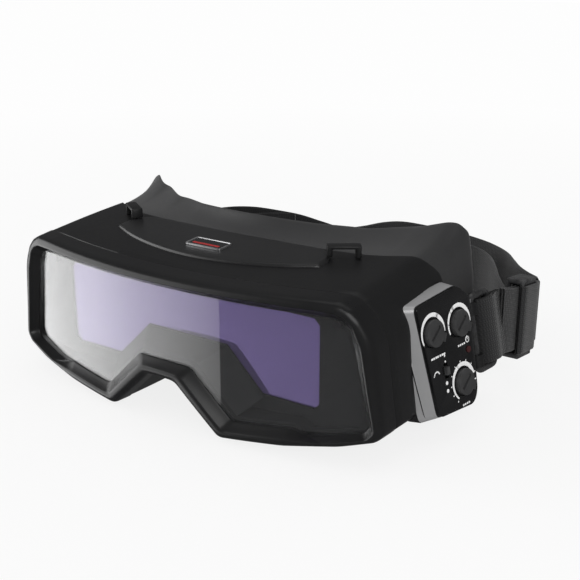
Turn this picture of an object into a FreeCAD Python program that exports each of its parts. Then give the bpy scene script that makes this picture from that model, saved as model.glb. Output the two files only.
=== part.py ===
import FreeCAD, Part
import math
import os
from FreeCAD import Placement, Rotation, Vector

# Auto-darkening welding goggles. The model is drawn about a datum at the middle of the filter
# window: X to the wearer's left, Y back towards the face, Z up. Every piece is then moved by
# the same offset, so that the finished object stands on Z = 0 with its box centred on X and Y.

doc = FreeCAD.newDocument("welding_goggles")

# ---------------------------------------------------------------- driving dimensions
sizes = doc.addObject("Spreadsheet::Sheet", "Sizes")
size_values = {
    # datum shift
    "origin_back": 76.25, "origin_up": 35.0,
    # filter window
    "window_wide": 126.0, "window_high": 36.0, "window_radius": 4.0,
    "notch_top_half": 20.0, "notch_foot_half": 37.0, "notch_drop": 1.5,
    # curved front
    "front_curve": 290.0, "front_apex": 14.5, "bezel_proud": 4.0, "bezel_behind": 6.0,
    "cover_thick": 1.2, "gasket_thick": 1.6, "cover_lip": 1.5,
    # lens opening
    "opening_top": 22.6, "opening_top_half": 77.0, "opening_foot_half": 86.0,
    "opening_side_drop": 20.0, "lobe_half": 31.8, "lobe_drop": 26.2,
    "arch_half": 13.0, "arch_drop": 7.8,
    # shell
    "shell_wall": 2.5, "shell_back_top": 33.5, "shell_front_top": 27.5,
    "shell_half": 92.0, "shell_back_half": 87.0,
    # crown panel, badge, loops
    "panel_proud": 1.2, "badge_wide": 18.0, "badge_high": 8.5, "badge_thick": 0.7,
    "loop_wide": 13.3, "loop_deep": 4.8, "loop_leg": 2.2, "loop_bar": 1.4,
    # soft seal
    "seal_thick": 3.0, "seal_reach": 76.0, "carrier_thick": 2.0, "carrier_deep": 8.0, "carrier_clear": 9.5,
    # control pods
    "pod_yaw": 8.0, "pod_tilt": 12.4, "pod_out": 97.0, "pod_back": 40.0,
    "pod_face_thick": 1.6, "pod_wall": 1.8, "pod_deep": 15.0,
    # knobs
    "knob_dia": 10.4, "knob_proud": 1.7, "knob_sink": 1.2, "knob_gap": 0.3,
    "pointer_reach": 7.0, "pointer_wide": 3.6, "shaft_dia": 3.0, "shaft_gap": 0.05,
    "shaft_long": 4.6, "slot_long": 7.4, "slot_wide": 1.3, "pot_dia": 9.4, "pot_high": 3.6,
    # switch and lamp
    "switch_wide": 2.0, "switch_high": 3.0, "switch_travel": 2.4, "switch_deep": 4.5,
    "lamp_dia": 2.6, "lamp_long": 5.35,
    "switch_base_wide": 5.0, "switch_base_high": 7.0, "switch_base_deep": 1.5,
    "board_thick": 1.0, "cell_dia": 20.0, "cell_thick": 3.2, "tray_wall": 1.6, "tray_floor": 1.2,
    "cell_gap": 0.3, "sensor_dia": 3.6, "sensor_long": 6.0,
    # strap hardware
    "ring_bar": 3.0, "ring_high": 33.0, "ring_long": 12.0, "pin_gap": 0.06,
    "strap_wide": 30.0, "strap_thick": 1.8, "strap_half": 100.3,
    "slider_long": 15.0, "slider_bar": 2.6, "slider_thick": 5.4,
    "strap_back": 171.0, "strap_fall": 0.15, "strap_turn": 116.0,
    "fit_gap": 0.05, "soft_gap": 0.3,
}
for row, (name, value) in enumerate(size_values.items(), 1):
    sizes.set("A%d" % row, name)
    sizes.set("B%d" % row, str(value))
    sizes.setAlias("B%d" % row, name)
doc.recompute()


def size(name):
    return float(getattr(sizes, name))


shift = Vector(0, -size("origin_back"), size("origin_up"))


pieces = []


def keep(name, shape):
    """A sub-part whose shape comes from surfaces and cuts."""
    piece = doc.addObject("Part::Feature", name)
    piece.Label = name
    piece.Shape = shape
    piece.Placement = Placement(shift, Rotation()).multiply(shape.Placement)
    pieces.append(piece)
    return piece


def solid_of(kind, label, place, **dimensions):
    """A round or square bar whose sizes are bound to the sheet. place is in the datum's frame."""
    bar = doc.addObject("Part::" + kind, label)
    bar.Label = label
    for dimension, cell in dimensions.items():
        bar.setExpression(dimension, cell)
    bar.Placement = Placement(shift, Rotation()).multiply(place)
    return bar


def joined(label, parts):
    whole = doc.addObject("Part::MultiFuse", label)
    whole.Label = label
    whole.Shapes = parts
    whole.Refine = True
    return whole


def cut_from(label, base, tool):
    rest = doc.addObject("Part::Cut", label)
    rest.Label = label
    rest.Base, rest.Tool = base, tool
    return rest


# ---------------------------------------------------------------- drawing helpers
def both_sides(half):
    """A closed outline from the points of its right half, from top centre to bottom centre."""
    left = [(-x, z) for x, z in reversed(half) if x > 1e-6]
    return list(half) + left


def grown(outline, by):
    """The outline moved outwards by a distance, corners kept sharp."""
    count = len(outline)
    area = sum(outline[i][0] * outline[(i + 1) % count][1] - outline[(i + 1) % count][0] * outline[i][1]
               for i in range(count))
    side = 1.0 if area > 0 else -1.0
    result = []
    for i in range(count):
        ax, az = outline[i - 1]
        bx, bz = outline[i]
        cx, cz = outline[(i + 1) % count]
        ux, uz = bx - ax, bz - az
        vx, vz = cx - bx, cz - bz
        ulen, vlen = math.hypot(ux, uz), math.hypot(vx, vz)
        nux, nuz = side * uz / ulen, -side * ux / ulen
        nvx, nvz = side * vz / vlen, -side * vx / vlen
        spread = 1 + nux * nvx + nuz * nvz
        result.append((bx + by * (nux + nvx) / spread, bz + by * (nuz + nvz) / spread))
    return result


def upright_wire(outline, depth):
    """The outline as a closed wire standing at Y = depth."""
    points = [Vector(x, depth, z) for x, z in outline]
    return Part.makePolygon(points + points[:1])


def upright_prism(outline, front, back):
    return Part.Face(upright_wire(outline, front)).extrude(Vector(0, back - front, 0))


def flat_prism(points, low, high):
    corners = [Vector(x, y, low) for x, y in points]
    return Part.Face(Part.makePolygon(corners + corners[:1])).extrude(Vector(0, 0, high - low))


def front_drum(offset):
    """Everything behind the curved front face, moved forwards by an offset."""
    radius = size("front_curve") + offset
    centre = size("front_curve") - size("front_apex")
    return Part.makeCylinder(radius, 200, Vector(0, centre, -100))


def mirrored(shape):
    return shape.mirror(Vector(0, 0, 0), Vector(1, 0, 0))


def box_at(low, high):
    return Part.makeBox(high[0] - low[0], high[1] - low[1], high[2] - low[2], Vector(*low))


# ---------------------------------------------------------------- outlines
opening_half = [
    (0, size("opening_top")), (size("opening_top_half") - 4, size("opening_top") - 0.6),
    (size("opening_top_half") + 1.5, size("opening_top") - 5),
    (size("opening_foot_half"), -size("opening_side_drop")),
    (62, -size("lobe_drop") + 0.6), (56, -size("lobe_drop") + 2.4),
    (size("lobe_half"), -size("lobe_drop")),
    (size("arch_half"), -size("arch_drop")), (0, -size("arch_drop") + 0.2)]
opening = both_sides(opening_half)


def shell_half_outline(top, corner, side, foot, lobe, arch, crown=0.0):
    """Right half of a cross-section of the face shell, top centre first."""
    corner_x, corner_z = corner
    side_x, side_z = side
    foot_x, foot_z = foot
    lobe_x, lobe_z = lobe
    arch_x, arch_z = arch
    return [
        (0, top + crown), (30, top + crown * 0.8), (47, top + crown * 0.5), (66, top),
        (corner_x - 4, top - 0.3), (corner_x, corner_z), (corner_x + 3.4, corner_z - 3.4),
        (side_x, side_z), (side_x + (foot_x - side_x) * 0.55, side_z + (foot_z - side_z) * 0.55),
        (foot_x, foot_z + 3.0), (foot_x - 3.0, foot_z),
        (foot_x - 15, foot_z - (foot_z - lobe_z) * 0.34),
        (lobe_x + (foot_x - lobe_x) * 0.42, lobe_z + (foot_z - lobe_z) * 0.27),
        (lobe_x, lobe_z), (arch_x, arch_z), (0, arch_z + 0.4)]


shell_sections = [
    (-24, shell_half_outline(size("shell_front_top") - 0.6, (78, 25.4), (85.6, 15),
                             (90.5, -22.4), (27.2, -32.6), (7, -14.6))),
    (14, shell_half_outline(30.6, (80, 27.6), (88, 15), (size("shell_half"), -23.6),
                            (27.6, -34.4), (7.5, -13.5), 0.3)),
    (70, shell_half_outline(size("shell_back_top"), (80.5, 30), (size("shell_back_half"), 15),
                            (90, -29), (31, -34.9), (11, -10.0), 0.6)),
]


def shell_loft(inset=0.0, lift=0.0):
    """The solid form of the shell, its walls moved inwards by an inset."""
    wires = [upright_wire([(x, z + lift) for x, z in grown(both_sides(half), -inset)], depth)
             for depth, half in shell_sections]
    return Part.makeLoft(wires, True, False)


def plan_curve(points, shift_back=0.0):
    """A smooth left-right curve in plan, through the points of its right half."""
    right = [Vector(x, y + shift_back, -90) for x, y in points]
    left = [Vector(-p.x, p.y, p.z) for p in reversed(right) if p.x > 1e-6]
    curve = Part.BSplineCurve()
    curve.interpolate(left + right)
    return curve


def before_curve(points, shift_back=0.0):
    """Everything in front of a plan curve."""
    curve = plan_curve(points, shift_back)
    start, end = curve.value(curve.FirstParameter), curve.value(curve.LastParameter)
    corners = [end, Vector(end.x, -80, -90), Vector(start.x, -80, -90), start]
    edges = [curve.toShape()] + [Part.makeLine(a, b) for a, b in zip(corners, corners[1:])]
    return Part.Face(Part.Wire(edges)).extrude(Vector(0, 0, 180))


shell_back_line = [(0, 33), (30, 34), (48, 35.5), (64, 39), (84, 52), (110, 72)]
seal_back_line = [(0, 43), (30, 48), (47, 58), (66, 68), (79, size("seal_reach")), (110, 88)]
whole_shell = shell_loft()
hollow = shell_loft(size("shell_wall"))
behind_bezel = front_drum(-size("bezel_behind") - size("fit_gap"))

# ---------------------------------------------------------------- pod frame
yaw = math.radians(size("pod_yaw"))
tilt = math.radians(size("pod_tilt"))


def pod_frame(side):
    """Placement of the control pod's own frame: x along the head, y up, z outwards.
    side is 1 on the wearer's left and -1 on the right, where x runs forwards."""
    outwards = Vector(side * math.cos(yaw) * math.cos(tilt), -math.sin(yaw) * math.cos(tilt), math.sin(tilt))
    along = Vector(0, 0, 1).cross(outwards).normalize()
    upwards = outwards.cross(along)
    turn = Rotation(along, upwards, outwards, "ZXY")
    return Placement(Vector(side * size("pod_out"), size("pod_back"), 0), turn)


def pod_solid(side, shape):
    """A shape drawn in the pod's frame, brought into the shell's frame."""
    placed = shape.copy()
    placed.Placement = pod_frame(side).multiply(placed.Placement)
    return placed


def pod_prism(side, outline, low, high):
    """A prism in the pod's frame; the outline is drawn for the wearer's left."""
    corners = [Vector(side * x, y, low) for x, y in outline]
    face = Part.Face(Part.makePolygon(corners + corners[:1]))
    return pod_solid(side, face.extrude(Vector(0, 0, high - low)))


def pod_rod(side, centre, radius, low, high):
    rod = Part.makeCylinder(radius, high - low, Vector(side * centre[0], centre[1], low))
    return pod_solid(side, rod)


face_outline = [(-18.6, 21.4), (8.4, 23.4), (16.0, 17.2), (13.4, -20.0), (10.0, -24.2), (-13.4, -22.4)]
bevel_outline = [(-22.8, 22.6), (8.8, 25.2), (17.0, 18.0), (14.4, -21.0), (10.6, -25.4), (-15.6, -23.6)]
cavity_outline = grown(face_outline, -size("pod_wall"))
knob_places = {"sensitivity": (-10.5, 9.8), "delay": (6.6, 9.2), "shade": (4.7, -13.7)}
switch_place = (-5.4, -6.2)
lamp_place = (10.6, -2.4)
face_low = -size("pod_face_thick")

# ---------------------------------------------------------------- face shell
shell = whole_shell.cut(hollow).common(behind_bezel).common(before_curve(shell_back_line))
for side in (1, -1):
    shell = shell.cut(pod_prism(side, cavity_outline, -size("pod_deep"), 0))
keep("front_shell", shell)

# ---------------------------------------------------------------- front bezel and cover lens
lens_outline = grown(opening, size("cover_lip"))
bezel_prism = upright_prism(grown(both_sides(shell_sections[0][1]), 0.4), -30, 20)
bezel = bezel_prism.common(front_drum(size("bezel_proud"))).cut(front_drum(-size("bezel_behind")))
bezel = bezel.cut(upright_prism(opening, -40, 40))
lens_pocket = upright_prism(grown(lens_outline, size("fit_gap")), -40, 40).common(front_drum(size("fit_gap")))
keep("front_bezel", bezel.cut(lens_pocket))

cover = upright_prism(lens_outline, -40, 40).common(front_drum(0)).cut(front_drum(-size("cover_thick")))
keep("cover_lens", cover)

gasket_front = -size("cover_thick") - size("fit_gap")
gasket_back = gasket_front - size("gasket_thick")
gasket = upright_prism(lens_outline, -40, 40).cut(upright_prism(grown(opening, 0.3), -50, 50))
keep("lens_gasket", gasket.common(front_drum(gasket_front)).cut(front_drum(gasket_back)))

# ---------------------------------------------------------------- filter housing
half_wide = size("window_wide") / 2
half_high = size("window_high") / 2
clip = size("window_radius") * 0.6
window_half = [
    (0, half_high), (half_wide - clip, half_high), (half_wide, half_high - clip),
    (half_wide, -half_high + clip), (half_wide - clip, -half_high),
    (size("notch_foot_half"), -half_high), (size("notch_top_half"), -size("notch_drop")),
    (0, -size("notch_drop"))]
window = both_sides(window_half)
plate_thick = 3.0
housing_front = front_drum(gasket_back - size("fit_gap"))
housing = upright_prism(grown(opening, 1.0), -40, plate_thick).common(housing_front)
housing = housing.cut(upright_prism(grown(opening, -1.2), -60, 0))
ramp_front = -11.5
ramp_back = [(-38, -19.0), (-size("notch_top_half") - 0.4, -size("notch_drop") - 0.4),
             (size("notch_top_half") + 0.4, -size("notch_drop") - 0.4), (38, -19.0)]
ramp_near = [(-size("lobe_half") + 0.5, -size("lobe_drop") + 0.5),
             (-size("arch_half") - 0.5, -size("arch_drop") + 0.3),
             (size("arch_half") + 0.5, -size("arch_drop") + 0.3),
             (size("lobe_half") - 0.5, -size("lobe_drop") + 0.5)]
ramp = Part.makeLoft([upright_wire(ramp_near, ramp_front), upright_wire(ramp_back, 0.5)], True, True)
ramp = ramp.common(upright_prism(grown(opening, -0.3), -30, 10)).common(housing_front)
housing = housing.fuse(ramp)
housing = housing.cut(upright_prism(window, -1.0, 20))
glass_seat = grown(window, 2.4)
housing = housing.cut(upright_prism(grown(glass_seat, size("fit_gap")), 0.8, 20))
sensor_place = (71.0, 18.2)
for side in (1, -1):
    bore = Part.makeCylinder(size("sensor_dia") / 2 + size("fit_gap"), 30,
                             Vector(side * sensor_place[0], -10, sensor_place[1]), Vector(0, 1, 0))
    housing = housing.cut(bore)

# filter stack, front to back: coated glass, two liquid-crystal cells, inner cover
glass_front = 0.8 + size("fit_gap")
keep("filter_glass", upright_prism(glass_seat, glass_front, glass_front + 2.0))
cell_outline = grown(window, 1.6)
stack = glass_front + 2.0 + size("fit_gap") + 0.2
cell_thickness = 1.1
for name in ("lcd_cell_front", "lcd_cell_rear"):
    keep(name, upright_prism(cell_outline, stack, stack + cell_thickness))
    stack += cell_thickness + size("fit_gap")
keep("inner_cover_lens", upright_prism(cell_outline, stack, stack + 1.0))
stack += 1.0
frame_outline = grown(window, 5.6)
frame_ring = upright_prism(frame_outline, plate_thick + size("fit_gap"), stack)
frame_ring = frame_ring.cut(upright_prism(grown(cell_outline, size("fit_gap")), -5, 30))
screws = []
for x, z in ((-1, -1), (-1, 1), (1, -1), (1, 1)):
    centre = Vector(x * (half_wide + 4.2), 0, z * 11)
    backwards = Vector(0, 1, 0)
    hole = Part.makeCylinder(0.9 + size("fit_gap"), 30, centre + backwards * 1.0, backwards)
    frame_ring = frame_ring.cut(hole)
    housing = housing.cut(hole)
    shank = Part.makeCylinder(0.9, stack - 1.2, centre + backwards * 1.2, backwards)
    head = Part.makeCylinder(1.5, 1.2, centre + backwards * stack, backwards)
    screws.append(shank.fuse(head).removeSplitter())
keep("cartridge_frame", frame_ring)
keep("frame_screws", Part.makeCompound(screws))
keep("filter_housing", housing)
for side, word in ((1, "left"), (-1, "right")):
    place = Placement(Vector(side * sensor_place[0], -1.6, sensor_place[1]), Rotation(Vector(1, 0, 0), -90))
    pieces.append(solid_of("Cylinder", "arc_sensor_" + word, place,
                           Radius="Sizes.sensor_dia / 2", Height="Sizes.sensor_long"))

# ---------------------------------------------------------------- crown panel, badge and loops
crescent = before_curve([(0, 32), (30, 33), (44, 34.0), (52, 28), (110, 28)], 0.0)
crescent = crescent.cut(before_curve([(0, 3), (20, 5.2), (38, 10.5), (52, 17.5), (110, 30)], 0.0))
crescent = crescent.common(box_at((-52, -10, 0), (52, 60, 60)))
panel = shell_loft(0, size("panel_proud")).cut(shell_loft(0, size("fit_gap"))).common(crescent)
keep("crown_panel", panel)

badge_lift = size("shell_front_top") + 3.0 + size("panel_proud")
badge = Part.makeBox(size("badge_wide"), size("badge_high"), size("badge_thick"),
                     Vector(-size("badge_wide") / 2, -size("badge_high") / 2, 0))
badge.Placement = Placement(Vector(0, 15, badge_lift + 1.15), Rotation(Vector(1, 0, 0), 3.6))
keep("badge_plate", badge.cut(shell_loft(0, size("panel_proud") + 0.02)))

loop_angle = 35.0
loop_top = 37.2
for side, word in ((1, "left"), (-1, "right")):
    block = Part.makeBox(size("loop_wide"), size("loop_deep"), 14, Vector(0, 0, -14))
    slot = Part.makeBox(size("loop_wide") - 2 * size("loop_leg"), 40, 4.4,
                        Vector(size("loop_leg"), -20, -size("loop_bar") - 4.4))
    place = Placement(Vector(50.0, 24.6, loop_top), Rotation(Vector(0, 0, 1), loop_angle))
    block.Placement = place
    slot.Placement = place
    loop = block.cut(slot).cut(shell_loft(0, size("fit_gap"))).cut(panel)
    solids = sorted(loop.Solids, key=lambda solid: solid.BoundBox.ZMax)
    loop = solids[-1].cut(box_at((-110, -60, -60), (110, 120, 27)))
    keep("hood_loop_" + word, loop if side > 0 else mirrored(loop))

# ---------------------------------------------------------------- seal carrier and face seal
carrier = shell_loft(size("shell_wall") + size("fit_gap"))
carrier = carrier.cut(shell_loft(size("shell_wall") + size("carrier_thick")))
carrier = carrier.common(before_curve(shell_back_line, 2.0))
carrier = carrier.cut(before_curve(shell_back_line, -size("carrier_deep")))
for side in (1, -1):
    carrier = carrier.cut(pod_prism(side, cavity_outline, -size("carrier_clear"), 0))
keep("seal_carrier", carrier)

seal_sections = [
    (20, shell_half_outline(31.4, (80, 28.6), (87.8, 15), (91.0, -25), (28, -34.5), (8, -12.6), 0.2)),
    (46, shell_half_outline(35.4, (79, 32.6), (86.8, 15), (89.6, -28), (30, -34.9), (10, -10.4), 3.2)),
    (82, shell_half_outline(38.6, (80, 37.6), (84.8, 15), (84, -31), (33, -35.0), (15, -5.0), 5.0)),
]


def seal_loft(inset):
    wires = [upright_wire(grown(both_sides(half), -inset), depth) for depth, half in seal_sections]
    return Part.makeLoft(wires, True, False)


seal = seal_loft(0).cut(seal_loft(size("seal_thick"))).common(before_curve(seal_back_line))
keep("face_seal", seal.cut(before_curve(shell_back_line, 2.0 + size("soft_gap"))))

# ---------------------------------------------------------------- control pods
outside_shell = shell_loft(-size("fit_gap"))
for side, word in ((1, "control"), (-1, "battery")):
    base = pod_prism(side, bevel_outline, -size("pod_deep"), face_low - 2.4)
    rim = Part.makeLoft([
        Part.makePolygon([Vector(side * x, y, face_low - 2.4) for x, y in bevel_outline + bevel_outline[:1]]),
        Part.makePolygon([Vector(side * x, y, face_low - size("fit_gap"))
                          for x, y in face_outline + face_outline[:1]])], True, True)
    base = base.fuse(pod_solid(side, rim)).cut(outside_shell)
    base = base.cut(pod_prism(side, cavity_outline, -size("pod_deep") - 2, 1))
    solids = sorted(base.Solids, key=lambda solid: solid.Volume)
    keep(word + "_pod_base", solids[-1])

panel_face = pod_prism(1, face_outline, face_low, 0)
for place in knob_places.values():
    panel_face = panel_face.cut(pod_rod(1, place, size("knob_dia") / 2 + size("knob_gap"), -4, 1))
slot_half = (size("switch_high") + size("switch_travel")) / 2 + 0.3
slot_outline = [(switch_place[0] + dx * (size("switch_wide") / 2 + 0.3), switch_place[1] + dz * slot_half)
                for dx, dz in ((-1, -1), (1, -1), (1, 1), (-1, 1))]
panel_face = panel_face.cut(pod_prism(1, slot_outline, -4, 1))
panel_face = panel_face.cut(pod_rod(1, lamp_place, size("lamp_dia") / 2 + size("fit_gap"), -4, 1))
keep("control_pod_face", panel_face)

# the battery door is a plate on the other pod that slides up off its box
keep("battery_door", pod_prism(-1, face_outline, face_low, 0))



def in_pod(side, x, y, z, turn=0.0):
    """A place in the pod's frame, turned about its own outward axis."""
    return pod_frame(side).multiply(Placement(Vector(x, y, z), Rotation(Vector(0, 0, 1), turn)))


pot_bottom = -size("knob_sink") - 0.3 - size("pot_high")
for name, (x, y) in knob_places.items():
    disc = solid_of("Cylinder", name + "_disc", in_pod(1, x, y, -size("knob_sink")),
                    Radius="Sizes.knob_dia / 2", Height="Sizes.knob_proud + Sizes.knob_sink")
    pointer_turn = -28
    pointer_place = in_pod(1, x, y, size("knob_gap"), pointer_turn).multiply(
        Placement(Vector(0, -size("pointer_wide") / 2, 0), Rotation()))
    pointer = solid_of("Box", name + "_pointer", pointer_place, Length="Sizes.pointer_reach",
                       Width="Sizes.pointer_wide", Height="Sizes.knob_proud - Sizes.knob_gap - 0.4")
    shaft = solid_of("Cylinder", name + "_shaft", in_pod(1, x, y, -size("knob_sink") - size("shaft_long")),
                     Radius="Sizes.shaft_dia / 2", Height="Sizes.shaft_long")
    slot_place = in_pod(1, x, y, size("knob_proud") - 0.9, 35).multiply(
        Placement(Vector(-size("slot_long") / 2, -size("slot_wide") / 2, 0), Rotation()))
    slot = solid_of("Box", name + "_slot", slot_place, Length="Sizes.slot_long", Width="Sizes.slot_wide",
                    Height="Sizes.slot_wide")
    pieces.append(cut_from("knob_" + name, joined(name + "_form", [disc, pointer, shaft]), slot))
    can = solid_of("Cylinder", name + "_can", in_pod(1, x, y, pot_bottom),
                   Radius="Sizes.pot_dia / 2", Height="Sizes.pot_high")
    bore = solid_of("Cylinder", name + "_bore", in_pod(1, x, y, pot_bottom - 2),
                    Radius="Sizes.shaft_dia / 2 + Sizes.shaft_gap", Height="Sizes.pot_high + 4")
    pieces.append(cut_from("potentiometer_" + name, can, bore))

board_top = pot_bottom
board_outline = grown(cavity_outline, -0.4)
board = pod_prism(1, board_outline, board_top - size("board_thick"), board_top)
for place in knob_places.values():
    board = board.cut(pod_rod(1, place, size("shaft_dia") / 2 + 0.4, -20, 1))
keep("circuit_board", board)

lever_low = board_top + 1.6
pieces.append(solid_of("Box", "range_switch",
                       in_pod(1, switch_place[0] - size("switch_wide") / 2,
                              switch_place[1] - size("switch_high") / 2, lever_low),
                       Length="Sizes.switch_wide", Width="Sizes.switch_high", Height="Sizes.switch_deep"))
pieces.append(solid_of("Box", "switch_body",
                       in_pod(1, switch_place[0] - size("switch_base_wide") / 2,
                              switch_place[1] - size("switch_base_high") / 2, board_top),
                       Length="Sizes.switch_base_wide", Width="Sizes.switch_base_high",
                       Height="Sizes.switch_base_deep"))
pieces.append(solid_of("Cylinder", "low_battery_lamp", in_pod(1, lamp_place[0], lamp_place[1], board_top),
                       Radius="Sizes.lamp_dia / 2", Height="Sizes.lamp_long"))

# the coin cell in the battery pod, in its tray under the door
cell_x, cell_y = 1.2, 2.0
tray_high = size("cell_thick") + size("tray_floor")
tray_low = face_low - 0.4 - tray_high
cup = solid_of("Cylinder", "tray_cup", in_pod(-1, cell_x, cell_y, tray_low),
               Radius="Sizes.cell_dia / 2 + Sizes.tray_wall", Height="Sizes.cell_thick + Sizes.tray_floor")
pocket = solid_of("Cylinder", "tray_pocket", in_pod(-1, cell_x, cell_y, tray_low + size("tray_floor")),
                  Radius="Sizes.cell_dia / 2 + Sizes.cell_gap / 2", Height="Sizes.cell_thick + 5")
pieces.append(cut_from("battery_tray", cup, pocket))
pieces.append(solid_of("Cylinder", "coin_cell", in_pod(-1, cell_x, cell_y, tray_low + size("tray_floor")),
                       Radius="Sizes.cell_dia / 2", Height="Sizes.cell_thick"))

# ---------------------------------------------------------------- strap anchors and rings
pin_x = 20.2
pin_z = -3.4
ring_low = -size("ring_high") / 2 + 0.6
ring_top = size("ring_high") / 2 + 0.6
bar = size("ring_bar") / 2
for side, word in ((1, "left"), (-1, "right")):
    arm_x = pin_x + size("ring_long")
    upright = Placement(Vector(0, 0, 0), Rotation(Vector(1, 0, 0), -90))
    ring_parts = []
    for part, x in (("pin", pin_x), ("arm", arm_x)):
        place = in_pod(side, side * x, ring_low + bar, pin_z).multiply(upright)
        ring_parts.append(solid_of("Cylinder", "ring_%s_%s" % (word, part), place,
                                   Radius="Sizes.ring_bar / 2", Height="Sizes.ring_high - Sizes.ring_bar"))
    for part, level in (("foot", ring_low), ("head", ring_top - 2 * bar)):
        place = in_pod(side, min(side * (pin_x - bar), side * (arm_x + bar)), level, pin_z - bar)
        ring_parts.append(solid_of("Box", "ring_%s_%s" % (word, part), place,
                                   Length="Sizes.ring_long + Sizes.ring_bar",
                                   Width="Sizes.ring_bar", Height="Sizes.ring_bar"))
    pieces.append(joined("strap_ring_" + word, ring_parts))

    arm_front = 15.2
    knuckle_low = ring_low + 2 * bar + 0.35
    knuckle_top = ring_top - 2 * bar - 0.35
    lugs = []
    for level in (knuckle_low, knuckle_top - 5.0):
        lug = Part.makeCylinder(bar + 1.3, 5.0, Vector(side * pin_x, level, pin_z), Vector(0, 1, 0))
        web = Part.makeBox(pin_x - arm_front, 5.0, 4.2,
                           Vector(min(side * arm_front, side * pin_x), level, pin_z - 3.2))
        lugs.append(lug.fuse(web))
    spine = Part.makeBox(3.4, knuckle_top - knuckle_low, 5.2,
                         Vector(min(side * (arm_front - 0.6), side * (arm_front + 2.8)),
                                knuckle_low, pin_z - 4.6))
    body = spine
    for lug in lugs:
        body = body.fuse(lug)
    pin_hole = Part.makeCylinder(bar + size("pin_gap"), 60, Vector(side * pin_x, -30, pin_z), Vector(0, 1, 0))
    body = pod_solid(side, body.cut(pin_hole))
    body = body.cut(pod_prism(side, grown(bevel_outline, size("fit_gap")), -30, 2)).cut(outside_shell)
    solids = sorted(body.Solids, key=lambda solid: solid.Volume)
    keep("strap_anchor_" + word, solids[-1])

# ---------------------------------------------------------------- strap and sliders
loop_start = pin_x + size("ring_long")
wrap_low = ring_low + 2 * bar + 0.5
wrap_wide = size("ring_high") - 4 * bar - 1.0
for side, word in ((1, "left"), (-1, "right")):
    wrap = Part.makeCylinder(bar + 0.35 + size("strap_thick"), wrap_wide,
                             Vector(side * loop_start, wrap_low, pin_z), Vector(0, 1, 0))
    tongue = Part.makeBox(9.0, wrap_wide, 2 * size("strap_thick") + 0.4,
                          Vector(min(side * loop_start, side * (loop_start + 9)), wrap_low,
                                 pin_z - size("strap_thick") - 0.2))
    bore = Part.makeCylinder(bar + 0.3, 60, Vector(side * loop_start, -30, pin_z), Vector(0, 1, 0))
    keep("strap_loop_" + word, pod_solid(side, wrap.fuse(tongue).cut(bore)))

strap_front = 82.2
strap_front_level = -0.9


def strap_level(back):
    """Height of the strap's middle at a place along the side of the head."""
    return strap_front_level - size("strap_fall") * (back - strap_front)


def side_band(start, end, inner, outer, tall):
    """A straight run of band beside the head, sloping down towards the back."""
    corners = [Vector(inner, y, strap_level(y) + sign * tall / 2)
               for y, sign in ((start, -1), (end, -1), (end, 1), (start, 1))]
    return Part.Face(Part.makePolygon(corners + corners[:1])).extrude(Vector(outer - inner, 0, 0))


def band_edge(curve, offset, count=60):
    """The curve moved sideways by an offset, as a smooth edge."""
    first, last = curve.FirstParameter, curve.LastParameter
    points = []
    for i in range(count + 1):
        u = first + (last - first) * i / count
        along = curve.tangent(u)[0]
        points.append(curve.value(u) + Vector(along.y, -along.x, 0) * offset)
    edge = Part.BSplineCurve()
    edge.interpolate(points)
    return edge


def hanging_band(route, low, tall):
    """A band of webbing on edge along a route in plan."""
    middle_line = Part.BSplineCurve()
    middle_line.interpolate([Vector(x, y, low) for x, y in route])
    half = size("strap_thick") / 2
    outer, inner = band_edge(middle_line, half), band_edge(middle_line, -half)
    ends = [Part.makeLine(outer.value(outer.LastParameter), inner.value(inner.LastParameter)),
            Part.makeLine(inner.value(inner.FirstParameter), outer.value(outer.FirstParameter))]
    wire = Part.Wire([outer.toShape(), ends[0], inner.toShape(), ends[1]])
    return Part.Face(wire).extrude(Vector(0, 0, tall))


double = size("strap_thick")
middle = size("strap_half")
rear_low = strap_level(size("strap_turn")) - size("strap_wide") / 2
tail_low = rear_low + 0.5
slider_mid = 98.0
slider_start = slider_mid - size("slider_long") / 2
slider_end = slider_mid + size("slider_long") / 2
slider_clear = 0.35
slider_wall = 1.6
for sign, word in ((1, "left"), (-1, "right")):
    side_run = side_band(strap_front, size("strap_turn"), middle - double, middle + double,
                         size("strap_wide"))
    inner_half = double + slider_clear
    tail_middle = middle - inner_half - slider_wall - size("soft_gap") - size("strap_thick") / 2
    tail = hanging_band([(tail_middle, slider_start + 2), (tail_middle - 1.9, 97), (89, 104), (83, 114),
                         (77, 125), (69.5, 137), (60.5, 146), (50, 151.5)],
                        tail_low, size("strap_wide") - 1.0)
    frame = side_band(slider_start, slider_end, middle - inner_half - slider_wall,
                      middle + inner_half + slider_wall,
                      size("strap_wide") + 2 * size("slider_bar"))
    frame = frame.cut(side_band(slider_start - 1, slider_end + 1, middle - inner_half, middle + inner_half,
                                size("strap_wide") + 2 * slider_clear))
    gap_long = (size("slider_long") - 3 * size("slider_bar")) / 2
    for start in (slider_start + size("slider_bar"), slider_end - size("slider_bar") - gap_long):
        frame = frame.cut(side_band(start, start + gap_long, middle - 20, middle + 20,
                                    size("strap_wide") - 2))
    for label, shape in (("strap_side_", side_run), ("strap_tail_", tail), ("strap_slider_", frame)):
        keep(label + word, shape if sign > 0 else mirrored(shape))


rear_middle = size("strap_back") - size("strap_thick") / 2
rear_half = [(0, rear_middle), (22, rear_middle - 0.8), (41, rear_middle - 3.6), (56, rear_middle - 9.0),
             (66, rear_middle - 15.6), (74, 147), (80.8, 137.6), (87.5, 128.5), (94.6, 121.8),
             (98.9, 118.9), (middle, size("strap_turn") + 1.5 * size("soft_gap"))]
keep("strap_rear", hanging_band([(-x, y) for x, y in reversed(rear_half[1:])] + rear_half,
                                rear_low, size("strap_wide")))

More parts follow.
